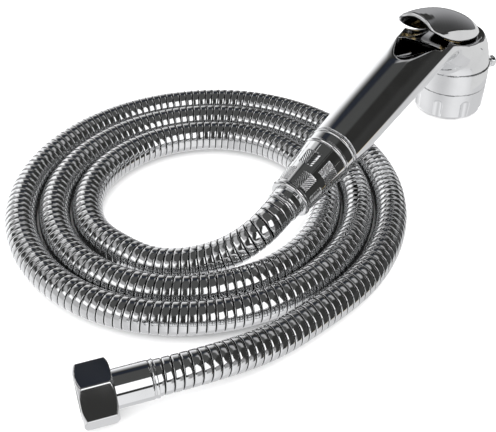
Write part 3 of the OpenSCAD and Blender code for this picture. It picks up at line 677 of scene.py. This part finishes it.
def hex_nut_skin(p):
    x, y, h = p[..., 0], p[..., 1], p[..., 2]
    r = np.hypot(x, y)
    skin = np.full(r.shape, -99.0)
    for k in range(3):
        a = nut_corner_turn + k * math.pi / 3
        skin = soft_max(skin, np.abs(x * math.cos(a) + y * math.sin(a)) - nut_af_mm / 2, 0.5)
    for depth in (h, nut_long_mm - h):
        skin = soft_max(skin, ((r - nut_af_mm / 2) * 1.2 - depth * 1.7) / 2.08, 0.3)
        skin = soft_max(skin, -depth, 0.2)
    wave = np.abs((h / thread_pitch_mm + np.arctan2(y, x) / (2 * math.pi)) % 1 - 0.5) * 2
    thread = np.maximum(r - thread_r_mm - 0.35 + 0.7 * wave, 6.7 - h) * 0.8
    inside = np.minimum(np.minimum(r - nut_hole_r_mm, thread), np.maximum(r - 9.8, np.abs(h - 4.6) - 2.1))
    mouth = (r - thread_r_mm - 0.8 - (h - nut_long_mm)) * 0.7
    return np.maximum(np.maximum(skin, -inside), -np.maximum(mouth, nut_long_mm - 2 - h))


shaped("tap_ferrule", tap_ferrule_skin, (-7.9, -7.9, -0.4), (7.9, 7.9, 18.9), 0.4, chrome, "handset",
       "tap_ferrule", at_tap)
shaped("hex_nut", hex_nut_skin, (-12.9, -12.9, -0.4), (12.9, 12.9, 13.4), 0.3, chrome, "hex_nut",
       "hex_nut", (tuple(tap_mm + nut_from_mm * tap_way), *at_tap[1:]))

# ---- Inner parts ----
# Seen only when the handset is taken apart: machined brass and steel with the rings that a lathe leaves,
# moulded rubber rings and the grey moulded spray face.
def grain_group():
    g = bpy.data.node_groups.new("grain", "ShaderNodeTree")
    for name, kind, where in (
        ("Size", "NodeSocketFloat", "INPUT"), ("Roughness", "NodeSocketFloat", "INPUT"),
        ("Light", "NodeSocketColor", "INPUT"), ("Dark", "NodeSocketColor", "INPUT"),
        ("Color", "NodeSocketColor", "OUTPUT"), ("Roughness", "NodeSocketFloat", "OUTPUT"),
        ("Height", "NodeSocketFloat", "OUTPUT"),
    ):
        g.interface.new_socket(name=name, in_out=where, socket_type=kind)
    n, link = g.nodes, g.links.new
    gin, gout = n.new("NodeGroupInput"), n.new("NodeGroupOutput")
    where = n.new("ShaderNodeTexCoord")
    fine = n.new("ShaderNodeTexNoise")
    fine.inputs["Detail"].default_value = 5
    link(where.outputs["Object"], fine.inputs["Vector"])
    link(gin.outputs["Size"], fine.inputs["Scale"])
    patch = n.new("ShaderNodeTexNoise")
    patch.inputs["Scale"].default_value = 120
    link(where.outputs["Object"], patch.inputs["Vector"])
    tone = n.new("ShaderNodeMix")
    tone.data_type = "RGBA"
    link(patch.outputs["Fac"], tone.inputs["Factor"])
    link(gin.outputs["Light"], tone.inputs["A"])
    link(gin.outputs["Dark"], tone.inputs["B"])
    rough = n.new("ShaderNodeMath")
    rough.operation = "MULTIPLY_ADD"
    rough.inputs[1].default_value = 0.2
    link(patch.outputs["Fac"], rough.inputs[0])
    link(gin.outputs["Roughness"], rough.inputs[2])
    link(tone.outputs["Result"], gout.inputs["Color"])
    link(rough.outputs[0], gout.inputs["Roughness"])
    link(fine.outputs["Fac"], gout.inputs["Height"])
    return g


grain = grain_group()


def moulded(name, light, dark, rough, size, depth):
    m = bpy.data.materials.new(name)
    m.use_nodes = True
    n, link = m.node_tree.nodes, m.node_tree.links.new
    shader = n["Principled BSDF"]
    marks = n.new("ShaderNodeGroup")
    marks.node_tree = grain
    marks.inputs["Size"].default_value = size
    marks.inputs["Roughness"].default_value = rough
    marks.inputs["Light"].default_value = (*light, 1)
    marks.inputs["Dark"].default_value = (*dark, 1)
    bump = n.new("ShaderNodeBump")
    bump.inputs["Strength"].default_value = 0.4
    bump.inputs["Distance"].default_value = depth
    link(marks.outputs["Height"], bump.inputs["Height"])
    link(marks.outputs["Color"], shader.inputs["Base Color"])
    link(marks.outputs["Roughness"], shader.inputs["Roughness"])
    link(bump.outputs["Normal"], shader.inputs["Normal"])
    return m


brass = metal("brass", (0.78, 0.6, 0.3), (0.6, 0.43, 0.2), 0.24, 0.14, 180, 0.5)
steel = metal("steel", (0.62, 0.63, 0.64), (0.5, 0.5, 0.51), 0.2, 0.12, 160, 0.4)
rubber = moulded("rubber", (0.03, 0.03, 0.032), (0.018, 0.018, 0.02), 0.55, 2600, 0.00003)
face_grey = moulded("face_grey", (0.2, 0.21, 0.22), (0.15, 0.16, 0.17), 0.4, 3200, 0.00002)
for stuff, names in (
    (brass, ("valve_gland", "nozzle_hub", "inlet_nipple", "sleeve_barb", "tap_barb")),
    (steel, ("valve_stem", "lever_pin")),
    (rubber, ("gland_oring", "hub_oring", "face_gasket", "valve_seal", "nipple_oring", "inlet_washer",
              "tap_washer")),
    (face_grey, ("spray_face",)),
):
    for name in names:
        nodes[name].data.materials.clear()
        nodes[name].data.materials.append(stuff)

# ---- Valve spring ----
# Stainless wire wound in seven turns, its end turns laid flat on the hub and under the stem's flange. It
# pushes the stem up, and in the real handset shortens as the lever is pressed; here it keeps one length, fixed to
# the handset.
wire_mm, spring_r_mm, spring_turns = 0.8, 3.55, 7
spring_low, spring_high = 13.1, 25.18


def spring_mesh():
    turns = np.linspace(0, spring_turns, spring_turns * 24 + 1)
    climb = np.clip((turns - 0.9) / (spring_turns - 1.8), 0, 1)
    height = spring_low + wire_mm / 2 + climb * (spring_high - spring_low - wire_mm)
    across = np.linspace(0, 2 * math.pi, 13)[:-1]
    a = 2 * math.pi * turns[:, None]
    r = spring_r_mm + wire_mm / 2 * np.cos(across)[None]
    z = height[:, None] + wire_mm / 2 * np.sin(across)[None]
    points = np.stack([valve_x + r * np.cos(a), r * np.sin(a), z], -1)
    count = len(across)
    faces = []
    for i in range(len(turns) - 1):
        here, after = i * count, (i + 1) * count
        faces += [[here + j, after + j, after + (j + 1) % count, here + (j + 1) % count] for j in range(count)]
    mesh = bpy.data.meshes.new("valve_spring_wire")
    mesh.from_pydata((points.reshape(-1, 3) / 1000).tolist(), [], faces + [list(range(count)), [
        (len(turns) - 1) * count + j for j in reversed(range(count))]])
    mesh.shade_smooth()
    return mesh


spring = bpy.data.objects.new("valve_spring_wire", spring_mesh())
bpy.context.scene.collection.objects.link(spring)
spring.data.materials.append(steel)
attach(spring, "handset")
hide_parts("valve_spring")
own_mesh(spring)

# ---- Studio ----
# A white table under an even soft light. The chrome mirrors the world's room and not the table itself:
# long soft lights to the left, behind and on the right, a white table top that ends past the object, and
# dark walls and ceiling.
table_r, table_corners = 1.6, np.linspace(0, 2 * math.pi, 97)[:-1]
floor_mesh = bpy.data.meshes.new("table_top")
floor_mesh.from_pydata([(table_r * math.cos(t), table_r * math.sin(t), 0) for t in table_corners], [],
                       [list(range(len(table_corners)))])
table = bpy.data.objects.new("table_top", floor_mesh)
bpy.context.scene.collection.objects.link(table)
table.location = (-0.085, 0.06, -0.0004)
table.visible_glossy = False
paper = bpy.data.materials.new("paper")
paper.use_nodes = True
tree = paper.node_tree
spot = tree.nodes.new("ShaderNodeTexCoord")
fibre = tree.nodes.new("ShaderNodeTexNoise")
fibre.inputs["Scale"].default_value = 700
fibre.inputs["Detail"].default_value = 3
tree.links.new(spot.outputs["Object"], fibre.inputs["Vector"])
shade = tree.nodes.new("ShaderNodeMix")
shade.data_type = "RGBA"
shade.inputs["A"].default_value = (0.93, 0.93, 0.93, 1)
shade.inputs["B"].default_value = (0.96, 0.96, 0.96, 1)
tree.links.new(fibre.outputs["Fac"], shade.inputs["Factor"])
tree.links.new(shade.outputs["Result"], tree.nodes["Principled BSDF"].inputs["Base Color"])
tree.nodes["Principled BSDF"].inputs["Roughness"].default_value = 0.9
tree.nodes["Principled BSDF"].inputs["Specular IOR Level"].default_value = 0
floor_mesh.materials.append(paper)


def mirrored_card(name, near_edge, far_edge, bright):
    """A card that only the chrome sees, between two rows of points in metres."""
    count = len(near_edge)
    m = bpy.data.meshes.new(name)
    m.from_pydata([tuple(q) for q in [*near_edge, *far_edge]], [],
                  [(i, i + 1, i + 1 + count, i + count) for i in range(count - 1)])
    card = bpy.data.objects.new(name, m)
    bpy.context.scene.collection.objects.link(card)
    card.visible_camera = card.visible_diffuse = card.visible_shadow = False
    glow = bpy.data.materials.new(name)
    glow.use_nodes = True
    shader = glow.node_tree.nodes["Principled BSDF"]
    shader.inputs["Base Color"].default_value = (0, 0, 0, 1)
    shader.inputs["Specular IOR Level"].default_value = 0
    shader.inputs["Emission Color"].default_value = (bright, bright, bright, 1)
    shader.inputs["Emission Strength"].default_value = 1
    m.materials.append(glow)


# two low white cards stand round the head, out of the picture, and fill the dark side of its dome; a near-black
# card lies on the table between the turns of the coil as a painted shadow of the coil that only the chrome sees
for name, r, tall, first in (("tall_card", 0.082, 0.03, -44), ("low_card", 0.045, 0.03, -100)):
    arc = [math.radians(a) for a in range(first, 37, 4)]
    mirrored_card(name, *[[(r * math.cos(a), r * math.sin(a), z) for a in arc] for z in (0, tall)], 0.7)
# painted shadow: a near-black card under the coil, between its turns, seen only in the chrome's reflections
mirrored_card("coil_shadow", *[[turn_at(a + b, 0, -0.2) / 1000 for a in range(coil_from, coil_to - 359, 6)]
                               for b in (0, 360)], 0.02)


def node_maker(tree):
    """Short makers of nodes in one tree: a sum, a smooth step between two values, and a mix of colours."""
    def wire(value, socket):
        if isinstance(value, (int, float)):
            socket.default_value = value
        else:
            tree.links.new(value, socket)

    def sum_of(kind, *values):
        m = tree.nodes.new("ShaderNodeMath")
        m.operation = kind
        for value, socket in zip(values, m.inputs):
            wire(value, socket)
        return m.outputs[0]

    def step(value, low, high):
        r = tree.nodes.new("ShaderNodeMapRange")
        r.interpolation_type = "SMOOTHSTEP"
        wire(value, r.inputs["Value"])
        wire(low, r.inputs["From Min"])
        wire(high, r.inputs["From Max"])
        return r.outputs["Result"]

    def tint(share, a, b):
        m = tree.nodes.new("ShaderNodeMix")
        m.data_type = "RGBA"
        for value, name in ((share, "Factor"), (a, "A"), (b, "B")):
            if isinstance(value, tuple):
                m.inputs[name].default_value = (*value, 1)
            else:
                wire(value, m.inputs[name])
        return m.outputs["Result"]

    return sum_of, step, tint


room = bpy.data.worlds.new("studio")
bpy.context.scene.world = room
room.use_nodes = True
tree = room.node_tree
tree.nodes.clear()
sum_of, step, tint = node_maker(tree)
way = tree.nodes.new("ShaderNodeTexCoord")
xyz = tree.nodes.new("ShaderNodeSeparateXYZ")
tree.links.new(way.outputs["Generated"], xyz.inputs[0])
rise = sum_of("MULTIPLY", sum_of("ARCSINE", xyz.outputs["Z"]), 180 / math.pi)
bearing = sum_of("MULTIPLY", sum_of("ARCTAN2", xyz.outputs["Y"], xyz.outputs["X"]), 180 / math.pi)


def window(low_az, high_az, low, high, soft_az, soft):
    """1 in the directions from one bearing round to another and between two elevations, in degrees."""
    middle, half = (low_az + high_az) / 2, (high_az - low_az) / 2
    off = sum_of("ABSOLUTE", sum_of("WRAP", sum_of("SUBTRACT", bearing, middle), 180, -180))
    beside = step(off, half + soft_az, half - soft_az)
    within = sum_of("MULTIPLY", step(rise, low - soft, low + soft), step(rise, high + soft, high - soft))
    return sum_of("MULTIPLY", beside, within)


# walls, the ceiling, a navy drape, and a far wall that is lit from the left
tone = tint(step(rise, 8, 30), (0.038, 0.038, 0.037), (0.024, 0.024, 0.023))
tone = tint(window(20, 64, 40, 60, 4, 4), tone, (0.018, 0.022, 0.032))
tone = tint(step(rise, 54, 64), tone, (0.066, 0.067, 0.066))
far_wall = tint(step(bearing, -26, 22), (0.05, 0.05, 0.05), (0.35, 0.35, 0.36))
tone = tint(window(-44, 34, -13.5, 12, 5, 0.8), tone, far_wall)
tone = tint(window(-26, -8, 11, 26, 3, 2), tone, (0.14, 0.14, 0.145))
# the white table top: near the middle it ends with a thin gold lip
white = tint(window(-152, -88, -60, 12, 26, 5), (0.64, 0.64, 0.65), (0.86, 0.86, 0.87))
white = tint(window(30, 150, -60, 12, 28, 5), white, (0.86, 0.86, 0.87))
tone = tint(window(-70, -38, -28, -26, 3, 0.3), tone, (0.6, 0.42, 0.12))
tone = tint(step(rise, -26.3, -27.7), tone, white)
tone = tint(window(-40, 36, -60, -20, 4, 0.8), tone, white)
tone = tint(window(-13, 36, -60, -16, 3, 0.8), tone, white)
tone = tint(window(78, 274, -60, 6, 3, 1.5), tone, white)
# the lights and their spill: from bearing, to bearing, lowest, highest, soft beside, soft above, bright
lights = [(-131, -88, 19.5, 62, 2, 1.5, 1.3), (-112, -86, -8, 16, 5, 3, 0.3), (142, 196, 20, 46, 6, 4, 1.25),
          (118, 200, -12, 20, 10, 6, 0.5), (100, 190, 38, 56, 10, 4, 0.4), (38, 94, -60, 17.5, 4, 22.5, 1.12),
          (61, 76, 10, 42, 2, 3, 1.05), (62, 96, 32, 52, 6, 5, 0.55), (-28, 26, 46, 59, 8, 3, 0.42)]
for *where, bright in lights:
    tone = tint(window(*where), tone, (bright, bright, bright * 1.01))
seen = tree.nodes.new("ShaderNodeLightPath")
tone = tint(seen.outputs["Is Glossy Ray"], (2.3, 2.3, 2.3), tone)
back = tree.nodes.new("ShaderNodeBackground")
tree.links.new(tint(seen.outputs["Is Camera Ray"], tone, (1, 1, 1)), back.inputs["Color"])
out = tree.nodes.new("ShaderNodeOutputWorld")
tree.links.new(back.outputs[0], out.inputs["Surface"])
bpy.context.scene.view_settings.view_transform = "Standard"
